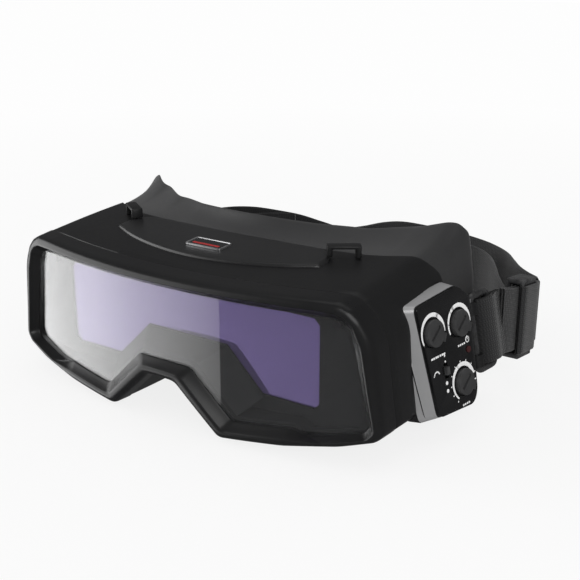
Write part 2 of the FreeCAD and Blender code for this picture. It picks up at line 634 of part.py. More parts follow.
# ---------------------------------------------------------------- ribbon cable from filter to board
ribbon = [(69.4, 5.2), (81.4, 10.4), (84.8, 19.8), (86.1, 26.8), (88.6, 28.0),
          (88.4, 28.5), (85.7, 27.2), (84.3, 20.0), (81.0, 10.9), (69.2, 5.7)]
keep("ribbon_cable", flat_prism(ribbon, -4, 2))

# ---------------------------------------------------------------- checks and files
doc.recompute()
os.makedirs("parts", exist_ok=True)
for piece in pieces:
    faults = {"Invalid", "Error"} & set(piece.State)
    if faults or piece.Shape.isNull() or not piece.Shape.isValid():
        raise RuntimeError("%s did not build: %s" % (piece.Label, piece.State))
for piece in pieces:
    piece.Shape.exportStep("parts/%s.step" % piece.Label)
box = FreeCAD.BoundBox()
for piece in pieces:
    box.add(piece.Shape.BoundBox)
corners = (box.XMin, box.YMin, box.ZMin, box.XMax, box.YMax, box.ZMax)
print(len(pieces), "pieces; box", [round(v, 2) for v in corners])
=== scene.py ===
"""Auto-darkening welding goggles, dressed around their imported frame. Metres, in the row frame."""
from math import cos, pi, radians, sin

import bmesh
import bpy
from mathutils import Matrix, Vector


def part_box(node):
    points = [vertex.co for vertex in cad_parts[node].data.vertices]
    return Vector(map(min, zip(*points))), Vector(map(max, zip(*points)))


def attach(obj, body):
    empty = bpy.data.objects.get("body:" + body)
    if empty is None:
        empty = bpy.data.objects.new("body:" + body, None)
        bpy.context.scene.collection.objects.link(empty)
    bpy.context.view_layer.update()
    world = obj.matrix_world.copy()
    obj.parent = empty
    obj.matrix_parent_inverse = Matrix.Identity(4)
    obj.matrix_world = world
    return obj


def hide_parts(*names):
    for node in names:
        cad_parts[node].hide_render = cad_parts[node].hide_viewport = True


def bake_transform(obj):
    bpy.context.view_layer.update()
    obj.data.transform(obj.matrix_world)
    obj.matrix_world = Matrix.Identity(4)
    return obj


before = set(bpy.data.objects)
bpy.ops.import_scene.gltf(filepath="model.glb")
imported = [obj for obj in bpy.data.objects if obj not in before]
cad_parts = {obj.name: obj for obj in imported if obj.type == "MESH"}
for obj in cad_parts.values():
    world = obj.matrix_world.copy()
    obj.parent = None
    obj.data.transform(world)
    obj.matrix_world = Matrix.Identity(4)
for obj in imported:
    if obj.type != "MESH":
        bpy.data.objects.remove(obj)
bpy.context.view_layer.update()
scene = bpy.context.scene
MM = 0.001

# Camera. It looks at the wearer's left front corner from a little above,
# through a lens of middling length, so the near pod stands larger than the far one.
camera_data = bpy.data.cameras.new("camera")
camera_data.lens = 62.07
camera_data.sensor_width = 36.0
camera_data.clip_start = 0.01
camera = bpy.data.objects.new("camera", camera_data)
scene.collection.objects.link(camera)
camera.location = Vector((243.787, -361.081, 180.600)) * MM
look_at = Vector((49.743, -76.25, 61.616)) * MM
camera.rotation_euler = (look_at - camera.location).to_track_quat("-Z", "Y").to_euler()
scene.camera = camera

# Studio. A pale floor under a white background. A tall graded panel stands far to the left for the
# window to mirror, a square one ahead on the right lights the near pod, and a weak one hangs overhead.
scene.view_settings.view_transform = "Standard"

studio = bpy.data.worlds.new("studio")
scene.world = studio
studio.use_nodes = True
tree = studio.node_tree
path = tree.nodes.new("ShaderNodeLightPath")
part = tree.nodes.new("ShaderNodeMath")
part.operation = "MULTIPLY"
seen_through_lens, shed_on_surfaces = 0.22, 0.50
part.inputs[1].default_value = seen_through_lens
tree.links.new(path.outputs["Is Transmission Ray"], part.inputs[0])
fill = tree.nodes.new("ShaderNodeMath")
fill.operation = "MULTIPLY"
fill.inputs[1].default_value = shed_on_surfaces
tree.links.new(path.outputs["Is Diffuse Ray"], fill.inputs[0])
more = tree.nodes.new("ShaderNodeMath")
more.operation = "MAXIMUM"
tree.links.new(part.outputs[0], more.inputs[0])
tree.links.new(fill.outputs[0], more.inputs[1])
seen = tree.nodes.new("ShaderNodeMath")
seen.operation = "MAXIMUM"
tree.links.new(path.outputs["Is Camera Ray"], seen.inputs[0])
tree.links.new(more.outputs[0], seen.inputs[1])
air = tree.nodes["Background"]
air.inputs["Color"].default_value = (0.12, 0.12, 0.122, 1)
white = tree.nodes.new("ShaderNodeBackground")
white.inputs["Color"].default_value = (1, 1, 1, 1)
either = tree.nodes.new("ShaderNodeMixShader")
tree.links.new(seen.outputs[0], either.inputs[0])
tree.links.new(air.outputs[0], either.inputs[1])
tree.links.new(white.outputs[0], either.inputs[2])
tree.links.new(either.outputs[0], tree.nodes["World Output"].inputs["Surface"])

floor_mesh = bpy.data.meshes.new("floor")
bm = bmesh.new()
bmesh.ops.create_grid(bm, x_segments=1, y_segments=1, size=3.0)
bm.to_mesh(floor_mesh)
bm.free()
floor = bpy.data.objects.new("floor", floor_mesh)
scene.collection.objects.link(floor)
floor.visible_glossy = False
floor.visible_transmission = False
paper = bpy.data.materials.new("floor_paper")
paper.use_nodes = True
tree = paper.node_tree
plain = tree.nodes["Principled BSDF"]
plain.inputs["Base Color"].default_value = (0.93, 0.93, 0.925, 1)
plain.inputs["Roughness"].default_value = 0.9
plain.inputs["Specular IOR Level"].default_value = 0.1
glow = tree.nodes.new("ShaderNodeEmission")
glow.inputs["Color"].default_value = (0.985, 0.985, 0.985, 1)
path = tree.nodes.new("ShaderNodeLightPath")
spot = tree.nodes.new("ShaderNodeTexCoord")
reach = tree.nodes.new("ShaderNodeVectorMath")
reach.operation = "LENGTH"
tree.links.new(spot.outputs["Object"], reach.inputs[0])
share = tree.nodes.new("ShaderNodeMapRange")
share.inputs["From Min"].default_value = 0.12
share.inputs["From Max"].default_value = 0.75
share.inputs["To Min"].default_value = 0.84
tree.links.new(reach.outputs["Value"], share.inputs["Value"])
amount = tree.nodes.new("ShaderNodeMath")
amount.operation = "MULTIPLY"
tree.links.new(share.outputs[0], amount.inputs[0])
tree.links.new(path.outputs["Is Camera Ray"], amount.inputs[1])
either = tree.nodes.new("ShaderNodeMixShader")
tree.links.new(amount.outputs[0], either.inputs[0])
tree.links.new(plain.outputs[0], either.inputs[1])
tree.links.new(glow.outputs[0], either.inputs[2])
tree.links.new(either.outputs[0], tree.nodes["Material Output"].inputs["Surface"])
floor_mesh.materials.append(paper)


def soft_panel(name, place, faces, width, height, radiance):
    """A soft box: an even rectangular lamp that lights and is mirrored, but isn't itself in the picture."""
    lamp = bpy.data.lights.new(name, "AREA")
    lamp.shape = "RECTANGLE"
    lamp.size, lamp.size_y = width, height
    lamp.energy = radiance * pi * width * height
    stand = bpy.data.objects.new(name, lamp)
    scene.collection.objects.link(stand)
    stand.location = place
    stand.rotation_euler = (Vector(faces) - Vector(place)).to_track_quat("-Z", "Y").to_euler()
    stand.visible_camera = False


soft_panel("top_panel", (0.05, 0.15, 1.20), (0.0, 0.0, 0.0), 1.0, 0.8, 0.55)
soft_panel("front_panel", (1.3, -1.3, 0.9), (0.0, 0.0, 0.03), 1.1, 1.1, 3.4)

# The tall panel on the left is brighter at its far end, so the window goes from violet to nearly white.
near_end, far_end = Vector((-1.430, -2.836, 0)), Vector((-3.30, 0.10, 0))
panel_mesh = bpy.data.meshes.new("side_panel")
bm = bmesh.new()
corners = [bm.verts.new(end + Vector((0, 0, height))) for end, height in
           ((near_end, -2.1), (far_end, -2.1), (far_end, 2.1), (near_end, 2.1))]
bm.faces.new(corners)
bm.to_mesh(panel_mesh)
bm.free()
side_panel = bpy.data.objects.new("side_panel", panel_mesh)
scene.collection.objects.link(side_panel)
side_panel.visible_camera = False
side_panel.visible_shadow = False
silk = bpy.data.materials.new("panel_silk")
silk.use_nodes = True
tree = silk.node_tree
tree.nodes.remove(tree.nodes["Principled BSDF"])
lit = tree.nodes.new("ShaderNodeEmission")
spot = tree.nodes.new("ShaderNodeTexCoord")
run = tree.nodes.new("ShaderNodeVectorMath")
run.operation = "DOT_PRODUCT"
along = (far_end - near_end).normalized()
run.inputs[1].default_value = along
tree.links.new(spot.outputs["Object"], run.inputs[0])
level = tree.nodes.new("ShaderNodeMapRange")
level.inputs["From Min"].default_value = near_end.dot(along)
level.inputs["From Max"].default_value = near_end.dot(along) + 1.7
level.inputs["To Min"].default_value = 1.05
level.inputs["To Max"].default_value = 3.0
tree.links.new(run.outputs["Value"], level.inputs["Value"])
tree.links.new(level.outputs[0], lit.inputs["Strength"])
tree.links.new(lit.outputs[0], tree.nodes["Material Output"].inputs["Surface"])
panel_mesh.materials.append(silk)

# ---- Face shell. One nylon moulding that carries everything. Its front edge follows the curve of the bezel,
# its back edge steps back towards the temples, and its underside rises in an arch over the nose.
# Its finish has a fine spark texture from the mould, slow changes of gloss, and light wear on edges.


def effect_group(name, inputs, outputs):
    """An empty shader group with the sockets named."""
    group = bpy.data.node_groups.new(name, "ShaderNodeTree")
    for label, kind, value in inputs:
        socket = group.interface.new_socket(label, in_out="INPUT", socket_type=kind)
        socket.default_value = value
    for label, kind in outputs:
        group.interface.new_socket(label, in_out="OUTPUT", socket_type=kind)
    return group, group.nodes.new("NodeGroupInput"), group.nodes.new("NodeGroupOutput")


def math_node(tree, kind, first, second):
    made = tree.nodes.new("ShaderNodeMath")
    made.operation = kind
    for socket, value in zip(made.inputs, (first, second)):
        if isinstance(value, bpy.types.NodeSocket):
            tree.links.new(value, socket)
        else:
            socket.default_value = value
    return made.outputs[0]


def blend_colour(tree, share, first, second):
    made = tree.nodes.new("ShaderNodeMix")
    made.data_type = "RGBA"
    for socket, value in ((made.inputs[0], share), (made.inputs[6], first), (made.inputs[7], second)):
        if isinstance(value, bpy.types.NodeSocket):
            tree.links.new(value, socket)
        else:
            socket.default_value = value
    return made.outputs[2]


def noise_of(tree, scale, detail=2.0):
    place = tree.nodes.new("ShaderNodeTexCoord")
    made = tree.nodes.new("ShaderNodeTexNoise")
    tree.links.new(place.outputs["Object"], made.inputs["Vector"])
    made.inputs["Detail"].default_value = detail
    if isinstance(scale, bpy.types.NodeSocket):
        tree.links.new(scale, made.inputs["Scale"])
    else:
        made.inputs["Scale"].default_value = scale
    return made.outputs[0]


def ramp_of(tree, value, low, high):
    """0 below low, 1 above high."""
    made = tree.nodes.new("ShaderNodeMapRange")
    tree.links.new(value, made.inputs["Value"])
    made.inputs["From Min"].default_value = low
    made.inputs["From Max"].default_value = high
    return made.outputs[0]


moulding, enters, leaves = effect_group(
    "moulded_surface",
    [("Colour", "NodeSocketColor", (0.02, 0.02, 0.02, 1)),
     ("Worn Colour", "NodeSocketColor", (0.08, 0.08, 0.08, 1)),
     ("Roughness", "NodeSocketFloat", 0.4), ("Gloss Change", "NodeSocketFloat", 0.1),
     ("Grain Scale", "NodeSocketFloat", 1800.0), ("Wear", "NodeSocketFloat", 0.3)],
    [("Colour", "NodeSocketColor"), ("Roughness", "NodeSocketFloat"), ("Height", "NodeSocketFloat")])
slow = noise_of(moulding, 28.0, 4.0)
speck = noise_of(moulding, 420.0, 3.0)
fine = noise_of(moulding, enters.outputs["Grain Scale"], 1.0)
shape = moulding.nodes.new("ShaderNodeNewGeometry")
edge = ramp_of(moulding, shape.outputs["Pointiness"], 0.51, 0.60)
worn = math_node(moulding, "MULTIPLY", edge, math_node(moulding, "MULTIPLY", enters.outputs["Wear"],
                                                       ramp_of(moulding, speck, 0.3, 0.7)))
tone = math_node(moulding, "MULTIPLY", ramp_of(moulding, slow, 0.35, 0.75), 0.10)
base_colour = blend_colour(moulding, tone, enters.outputs["Colour"], enters.outputs["Worn Colour"])
moulding.links.new(blend_colour(moulding, worn, base_colour, enters.outputs["Worn Colour"]),
                   leaves.inputs["Colour"])
change = math_node(moulding, "MULTIPLY", math_node(moulding, "SUBTRACT", slow, 0.5),
                   enters.outputs["Gloss Change"])
spots = math_node(moulding, "MULTIPLY", math_node(moulding, "SUBTRACT", speck, 0.5), 0.08)
moulding.links.new(math_node(moulding, "ADD", enters.outputs["Roughness"],
                             math_node(moulding, "ADD", change, spots)), leaves.inputs["Roughness"])
moulding.links.new(fine, leaves.inputs["Height"])


def moulded(name, colour, worn_colour, roughness, gloss_change=0.10, grain=1800.0, wear=0.1, bump=0.06, **plain):
    """A moulded or painted finish built on the shared surface group."""
    m = bpy.data.materials.new(name)
    m.use_nodes = True
    tree = m.node_tree
    p = tree.nodes["Principled BSDF"]
    surface = tree.nodes.new("ShaderNodeGroup")
    surface.node_tree = moulding
    for label, value in (("Colour", (*colour, 1)), ("Worn Colour", (*worn_colour, 1)), ("Roughness", roughness),
                         ("Gloss Change", gloss_change), ("Grain Scale", grain), ("Wear", wear)):
        surface.inputs[label].default_value = value
    relief = tree.nodes.new("ShaderNodeBump")
    relief.inputs["Strength"].default_value = bump
    relief.inputs["Distance"].default_value = 0.0002
    tree.links.new(surface.outputs["Colour"], p.inputs["Base Color"])
    tree.links.new(surface.outputs["Roughness"], p.inputs["Roughness"])
    tree.links.new(surface.outputs["Height"], relief.inputs["Height"])
    tree.links.new(relief.outputs["Normal"], p.inputs["Normal"])
    for label, value in plain.items():
        p.inputs[label.replace("_", " ")].default_value = value
    return m


datum_back, datum_up = 76.25, 35.0


def at(x, y, z):
    """A point drawn about the middle of the filter window, in millimetres, in the row frame."""
    return Vector((x, y - datum_back, z + datum_up)) * MM


def swept(bm, rows, closed=False):
    """A skin made by extruding a chain of points from row to row. Returns the last chain's vertices."""
    chain = [bm.verts.new(p) for p in rows[0]]
    edges = [bm.edges.new(pair) for pair in zip(chain, chain[1:])]
    if closed:
        edges.append(bm.edges.new((chain[-1], chain[0])))
    for row in rows[1:]:
        made = bmesh.ops.extrude_edge_only(bm, edges=edges)["geom"]
        fresh = {g for g in made if isinstance(g, bmesh.types.BMVert)}
        edges = [g for g in made if isinstance(g, bmesh.types.BMEdge)
                 and g.verts[0] in fresh and g.verts[1] in fresh]
        chain = [next(e.other_vert(v) for e in v.link_edges if e.other_vert(v) in fresh) for v in chain]
        for v, p in zip(chain, row):
            v.co = p
    return chain


def settle(name, bm, material, body, nodes=(), sharp=35, mirror=False, recalc=True):
    """Turn a finished mesh into a named piece that rides on its body and stands for its CAD nodes."""
    if mirror:
        bmesh.ops.scale(bm, vec=(-1, 1, 1), verts=bm.verts)
    bmesh.ops.remove_doubles(bm, verts=bm.verts, dist=1e-6)
    if recalc or mirror:
        bmesh.ops.recalc_face_normals(bm, faces=bm.faces)
    mesh = bpy.data.meshes.new(name)
    bm.to_mesh(mesh)
    bm.free()
    for m in (material if isinstance(material, (list, tuple)) else [material]):
        mesh.materials.append(m)
    mesh.shade_smooth()
    mesh.set_sharp_from_angle(angle=radians(sharp))
    piece = bpy.data.objects.new(name, mesh)
    scene.collection.objects.link(piece)
    if body:
        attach(piece, body)
    if nodes:
        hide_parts(*nodes)
    return piece


def half_trace(corners, radii, runs):
    """An open outline through its corners, each rounded by its radius, each straight cut into its runs."""
    ends = []
    for i in range(1, len(corners) - 1):
        a, b, c = Vector(corners[i - 1]), Vector(corners[i]), Vector(corners[i + 1])
        before, after = (a - b), (c - b)
        turn = pi - before.angle(after)
        reach = min(radii[i] * sin(turn / 2) / max(cos(turn / 2), 0.05), 0.46 * before.length,
                    0.46 * after.length)
        ends.append((b + before.normalized() * max(reach, 0.15), b, b + after.normalized() * max(reach, 0.15)))
    traced = [Vector(corners[0])]
    for i, (start, corner, stop) in enumerate(ends):
        last = traced[-1]
        for k in range(1, runs[i]):
            traced.append(last.lerp(start, k / runs[i]))
        for u in (0.0, 0.2, 0.4, 0.6, 0.8, 1.0):
            traced.append(start * (1 - u) ** 2 + corner * 2 * u * (1 - u) + stop * u * u)
    last = traced[-1]
    for k in range(1, runs[-1] + 1):
        traced.append(last.lerp(Vector(corners[-1]), k / runs[-1]))
    return traced


def shell_half(top, corner, side, foot, lobe, arch, crown=0.0):
    """Right half of a cross-section, top centre first."""
    (cx, cz), (sx, sz), (fx, fz), (lx, lz), (ax, az) = corner, side, foot, lobe, arch
    return [(0, top + crown), (30, top + crown * 0.8), (47, top + crown * 0.5), (66, top), (cx - 4, top - 0.3),
            (cx, cz), (cx + 3.4, cz - 3.4), (sx, sz), (sx + (fx - sx) * 0.55, sz + (fz - sz) * 0.55),
            (fx, fz + 3.0), (fx - 3.0, fz), (fx - 15, fz - (fz - lz) * 0.34),
            (lx + (fx - lx) * 0.42, lz + (fz - lz) * 0.27), (lx, lz), (ax, az), (0, az + 0.4)]


shell_radii = [0, 60, 60, 40, 9, 8, 9, 40, 60, 4, 4, 30, 40, 4.5, 6, 0]
shell_runs = [4, 2, 3, 1, 1, 1, 1, 3, 2, 1, 2, 3, 4, 4, 1]
shell_depths = (-24, 14, 70)
shell_traces = [half_trace(half, shell_radii, shell_runs) for half in (
    shell_half(26.9, (78, 25.4), (85.6, 15), (90.5, -22.4), (27.2, -32.6), (7, -14.6)),
    shell_half(30.6, (80, 27.6), (88, 15), (92, -23.6), (27.6, -34.4), (7.5, -13.5), 0.3),
    shell_half(33.5, (80.5, 30), (87, 15), (90, -29), (31, -34.9), (11, -10.0), 0.6))]


def through_three(depths, values, y):
    """The value at depth y on the curve through three stations."""
    (a, b, c), (p, q, r) = depths, values
    return (p * ((y - b) * (y - c) / ((a - b) * (a - c))) + q * ((y - a) * (y - c) / ((b - a) * (b - c)))
            + r * ((y - a) * (y - b) / ((c - a) * (c - b))))


def eased(points, x):
    """A smooth curve through points in order of x, read at x."""
    x = min(max(x, points[0][0]), points[-1][0])
    slopes = [(b[1] - a[1]) / (b[0] - a[0]) for a, b in zip(points, points[1:])]
    tangents = [0.0] + [(m + n) / 2 for m, n in zip(slopes, slopes[1:])] + [slopes[-1]]
    for i, (a, b) in enumerate(zip(points, points[1:])):
        if x <= b[0]:
            break
    span = b[0] - a[0]
    t = (x - a[0]) / span
    return ((2 * t ** 3 - 3 * t * t + 1) * a[1] + (t ** 3 - 2 * t * t + t) * span * tangents[i]
            + (3 * t * t - 2 * t ** 3) * b[1] + (t ** 3 - t * t) * span * tangents[i + 1])


def drum(x, offset):
    """Depth of the curved front at x, moved forwards by an offset."""
    return 275.5 - ((290.0 + offset) ** 2 - x * x) ** 0.5


shell_back = [(0, 33), (30, 34), (48, 35.5), (64, 39), (84, 52), (110, 72)]


def shell_row(front, back, share, inset=0.0):
    """One ring of the shell, a share of the way from a front curve to a back curve."""
    row = []
    for j in range(len(shell_traces[0])):
        x, y = shell_traces[0][j].x, 0.0
        for _ in range(4):
            y = front(abs(x)) * (1 - share) + back(abs(x)) * share
            spot = through_three(shell_depths, [t[j] for t in shell_traces], y)
            x = spot.x
        row.append(Vector((spot.x, y, spot.y)))
    if inset:
        row = drawn_in(row, inset)
    return row


def drawn_in(row, inset):
    """The same ring moved towards its inside, in its own X and Z."""
    moved = []
    for i, p in enumerate(row):
        a, b = row[max(i - 1, 0)], row[min(i + 1, len(row) - 1)]
        along = Vector((b.x - a.x, b.z - a.z)).normalized()
        moved.append(Vector((max(p.x - inset * -along.y, 0.0) if i not in (0, len(row) - 1) else p.x,
                             p.y, p.z - inset * along.x)))
    return moved


def whole_ring(row):
    """Both halves of a ring, as points in the row frame."""
    return [at(*p) for p in row] + [at(-p.x, p.y, p.z) for p in reversed(row[1:-1])]


shell_plastic = moulded("shell_plastic", (0.0100, 0.0100, 0.0105), (0.04, 0.04, 0.04), 0.40, bump=0.10,
                        Specular_IOR_Level=0.35)
bezel_behind, seam = 6.0, 0.25


def front_of_shell(x):
    return drum(x, -bezel_behind) + seam


def back_of_shell(x):
    return eased(shell_back, x)


bm = bmesh.new()
shares = [0.0, 0.012, 0.10, 0.22, 0.34, 0.46, 0.58, 0.70, 0.82, 0.93, 1.0]
rings = [whole_ring(shell_row(front_of_shell, back_of_shell, s, 0.45 if s == 0.0 else 0.0)) for s in shares]
inner = [whole_ring(shell_row(front_of_shell, back_of_shell, s, 2.3)) for s in (1.0, 0.6, 0.3, 0.012)]
swept(bm, rings + inner, closed=True)
settle("face_shell", bm, shell_plastic, "root", ["front_shell"], 40)

# ---- Front bezel. The lens rim: a curved frame clipped to the shell, proud of the lens by 4 mm, with a rounded
# brow, a broad sloping reveal down to the lens and a step over each cheek.
bezel_plastic = moulded("bezel_plastic", (0.010, 0.010, 0.0105), (0.05, 0.05, 0.05), 0.30, 0.08, 2200.0, 0.0, 0.04,
                        Specular_IOR_Level=0.35)
opening_corners = [(0, 22.6), (30, 22.6), (47, 22.6), (64, 22.4), (72.5, 22.0), (75.8, 20.8), (78.2, 18.2),
                   (79.6, 12.0), (82.9, -4.5), (85.7, -18.0), (83.4, -20.9), (63, -25.4), (56, -23.8),
                   (31.8, -26.2), (13, -7.8), (0, -7.6)]
opening_radii = [0, 60, 60, 40, 6, 5, 6, 40, 60, 3, 3, 4, 4, 4, 5, 0]
opening_trace = half_trace(opening_corners, opening_radii, shell_runs)
brow = [(0.0, -5.95), (-0.03, -5.8), (-0.03, -0.6), (-0.03, 1.2), (0.0, 2.3), (0.07, 3.1), (0.17, 3.6),
        (0.30, 3.9), (0.42, 3.95), (0.50, 3.8), (0.56, 3.4), (0.62, 2.8), (0.92, 0.75), (0.97, 0.45), (1.0, 0.2),
        (1.0, 0.06), (0.72, 0.06), (0.66, -2.5), (0.6, -5.95)]
bm = bmesh.new()
rings = []
for share, proud in brow:
    ring = []
    for j, inner_edge in enumerate(opening_trace):
        outer_edge = shell_traces[0][j]
        for _ in range(4):
            outer_edge = through_three(shell_depths, [t[j] for t in shell_traces], drum(outer_edge.x, proud))
        p = outer_edge.lerp(inner_edge, share)
        ring.append(Vector((p.x, drum(p.x, proud), p.y)))
    rings.append(whole_ring(ring))
swept(bm, rings + rings[:1], closed=True)
settle("lens_bezel", bm, bezel_plastic, "root", ["front_bezel"], 50)

# ---- Cover lens. A clear polycarbonate sheet bent to the front's radius and cut to the opening with a lip
# under the bezel. It lets lamps through to what stands behind it.
clear = bpy.data.materials.new("clear_polycarbonate")
clear.use_nodes = True
tree = clear.node_tree
p = tree.nodes["Principled BSDF"]
p.inputs["Base Color"].default_value = (0.97, 0.975, 0.98, 1)
p.inputs["Roughness"].default_value = 0.012
p.inputs["Transmission Weight"].default_value = 1.0
p.inputs["IOR"].default_value = 1.58
path = tree.nodes.new("ShaderNodeLightPath")
through = tree.nodes.new("ShaderNodeBsdfTransparent")
through.inputs["Color"].default_value = (0.94, 0.94, 0.95, 1)
either = tree.nodes.new("ShaderNodeMixShader")
tree.links.new(path.outputs["Is Shadow Ray"], either.inputs[0])
tree.links.new(p.outputs[0], either.inputs[1])
tree.links.new(through.outputs[0], either.inputs[2])
tree.links.new(either.outputs[0], tree.nodes["Material Output"].inputs["Surface"])


def read_line(points, x):
    """Height of a broken line at x."""
    for a, b in zip(points, points[1:]):
        if x <= b[0]:
            return a[1] + (b[1] - a[1]) * (x - a[0]) / (b[0] - a[0])
    return points[-1][1]


lens_top = [(0, 23.9), (73, 23.5), (78.6, 19.4), (87.3, -19.6)]
lens_foot = [(0, -8.9), (13.2, -9.2), (31.4, -27.6), (56, -25.2), (63, -26.9), (87.3, -20.9)]
bm = bmesh.new()
stations = [i * 87.2 / 60 for i in range(-60, 61)]
swept(bm, [[at(x, drum(x, 0.0), read_line(lens_top, abs(x))), at(x, drum(x, 0.0), read_line(lens_foot, abs(x)))]
           for x in stations])
bmesh.ops.recalc_face_normals(bm, faces=bm.faces)
if next(iter(bm.faces)).normal.y > 0:
    bmesh.ops.reverse_faces(bm, faces=bm.faces)
bmesh.ops.solidify(bm, geom=bm.faces[:], thickness=1.2 * MM)
settle("cover_lens_sheet", bm, clear, "root", ["cover_lens"], 40)


# ---- Filter cartridge. A black moulded tray carries the coated filter glass, its two liquid-crystal cells and
# the inner cover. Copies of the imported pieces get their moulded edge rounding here.
def rounded_copy(node_name, width, segments=2, angle=28):
    """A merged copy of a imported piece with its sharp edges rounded."""
    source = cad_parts[node_name]
    bm = bmesh.new()
    bm.from_mesh(source.data)
    bm.transform(source.matrix_world)
    bmesh.ops.remove_doubles(bm, verts=bm.verts, dist=2e-6)
    bmesh.ops.dissolve_limit(bm, angle_limit=radians(0.6), verts=bm.verts, edges=bm.edges)
    sharp = [e for e in bm.edges if len(e.link_faces) == 2 and e.calc_face_angle(0.0) > radians(angle)]
    bmesh.ops.bevel(bm, geom=sharp, offset=width * MM, offset_type="OFFSET", affect="EDGES", segments=segments,
                    profile=0.5, clamp_overlap=True, material=-1)
    return bm


tray_plastic = moulded("tray_plastic", (0.010, 0.010, 0.0105), (0.03, 0.03, 0.03), 0.50, bump=0.03,
                       Specular_IOR_Level=0.08)
settle("filter_tray", rounded_copy("filter_housing", 0.5), tray_plastic, "root", ["filter_housing"],
       45, recalc=False)


def node_finish(material, *names):
    for name in names:
        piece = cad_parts[name]
        for place in piece.material_slots:
            place.material = material


filter_coat = bpy.data.materials.new("filter_coat")
filter_coat.use_nodes = True
tree = filter_coat.node_tree
p = tree.nodes["Principled BSDF"]
p.inputs["Metallic"].default_value = 0.5
p.inputs["Roughness"].default_value = 0.02
p.inputs["Specular IOR Level"].default_value = 0.2
p.inputs["Base Color"].default_value = (0.100, 0.072, 0.190, 1)
node_finish(filter_coat, "filter_glass")
dark_crystal = moulded("dark_crystal", (0.010, 0.014, 0.012), (0.02, 0.02, 0.02), 0.12, 0.02, 900.0, 0.0, 0.0)
node_finish(dark_crystal, "lcd_cell_front", "lcd_cell_rear", "inner_cover_lens")
sensor_glass = moulded("sensor_glass", (0.006, 0.004, 0.006), (0.02, 0.01, 0.02), 0.30, 0.02, 900.0, 0.0, 0.0,
                       Specular_IOR_Level=0.05)
node_finish(sensor_glass, "arc_sensor_left", "arc_sensor_right")
gasket_foam = moulded("gasket_foam", (0.012, 0.012, 0.012), (0.03, 0.03, 0.03), 0.85, 0.05, 1200.0, 0.1, 0.3)
node_finish(gasket_foam, "lens_gasket")
node_finish(tray_plastic, "cartridge_frame", "seal_carrier")
screw_steel = moulded("screw_steel", (0.42, 0.42, 0.43), (0.6, 0.6, 0.6), 0.32, 0.1, 2600.0, 0.3, 0.05,
                      Metallic=1.0)
node_finish(screw_steel, "frame_screws")

# ---- Crown panel. A crescent pad moulded on the brow, 1.2 mm proud with a soft edge all round. It carries the
# badge, a plain dark plate in a bright frame, stuck flat on the pad.
panel_plastic = moulded("panel_plastic", (0.015, 0.015, 0.0155), (0.06, 0.06, 0.06), 0.34, bump=0.08)


def brow_height(x, y):
    """Height of the shell's crown at a place in plan."""
    half = [(0, 1.0), (30, 0.8), (47, 0.5), (66, 0.0), (90, 0.0)]
    return (through_three(shell_depths, (26.9, 30.6, 33.5), y)
            + through_three(shell_depths, (0.0, 0.3, 0.6), y) * read_line(half, abs(x)))


panel_front = [(0, 3.0), (20, 5.2), (38, 10.5), (52, 17.5)]
panel_back = [(0, 31.6), (30, 32.4), (44, 32.0), (49, 28.5), (52, 22.0)]
panel_rise = [(0.0, -0.3), (0.12, 0.45), (0.5, 1.0), (1.3, 1.2)]
bm = bmesh.new()
rows = []
for i in range(-40, 41):
    x = 51.8 * i / 40
    front, back = eased(panel_front, abs(x)), eased(panel_back, abs(x))
    end_rise = min((51.8 - abs(x)) / 1.2, 1.0)
    row = []
    for inwards, rise in panel_rise:
        y = front + min(inwards, (back - front) * 0.4)
        row.append(at(x, y, brow_height(x, y) + min(rise, 1.4 * end_rise - 0.3)))
    for k in range(1, 8):
        y = front + (back - front) * k / 8
        row.append(at(x, y, brow_height(x, y) + min(1.2, 1.4 * end_rise - 0.3)))
    for inwards, rise in reversed(panel_rise):
        y = back - min(inwards, (back - front) * 0.4)
        row.append(at(x, y, brow_height(x, y) + min(rise, 1.4 * end_rise - 0.3)))
    rows.append(row)
swept(bm, rows)
settle("crown_pad", bm, panel_plastic, "root", ["crown_panel"], 50)

badge_low, badge_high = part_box("badge_plate")
badge_enamel = moulded("badge_enamel", (0.010, 0.010, 0.011), (0.04, 0.04, 0.04), 0.16, 0.05, 1500.0, 0.1, 0.02)
badge_frame = moulded("badge_frame", (0.55, 0.55, 0.56), (0.8, 0.8, 0.8), 0.28, 0.1, 2600.0, 0.4, 0.04,
                      Metallic=0.9)
badge_red = moulded("badge_red", (0.42, 0.02, 0.02), (0.5, 0.08, 0.08), 0.3, 0.05, 1500.0, 0.1, 0.02)
bm = bmesh.new()
corners = [(-8.9, -4.15), (8.9, -4.15), (8.9, 4.15), (-8.9, 4.15)]
lift = brow_height(0, 15) + 1.2
tilt = 0.058
plate = bm.faces.new([bm.verts.new(at(x, 15 + y, lift - 0.1 + y * tilt)) for x, y in corners])
top = bmesh.ops.extrude_face_region(bm, geom=[plate])["geom"]
bmesh.ops.translate(bm, vec=(0, 0, 0.68 * MM), verts=[g for g in top if isinstance(g, bmesh.types.BMVert)])
uprights = [e for e in bm.edges if abs(e.verts[0].co.z - e.verts[1].co.z) > 0.5 * MM]
bmesh.ops.bevel(bm, geom=uprights, offset=1.0 * MM, offset_type="OFFSET", affect="EDGES", segments=4, profile=0.5,
                material=-1)
bm.faces.ensure_lookup_table()
upper = max(bm.faces, key=lambda f: f.calc_center_median().z)
for f in bm.faces:
    f.material_index = 1
bmesh.ops.inset_region(bm, faces=[upper], thickness=0.55 * MM, depth=0.0)
bmesh.ops.inset_region(bm, faces=[upper], thickness=0.12 * MM, depth=-0.22 * MM)
upper.material_index = 0
settle("crown_badge", bm, [badge_enamel, badge_frame], "root", ["badge_plate"], 30)
bm = bmesh.new()
strip = bm.faces.new([bm.verts.new(at(x, 15 + y, lift + 0.38 + y * tilt)) for x, y in
                      [(-6.6, -2.2), (6.6, -2.2), (6.6, -0.9), (-6.6, -0.9)]])
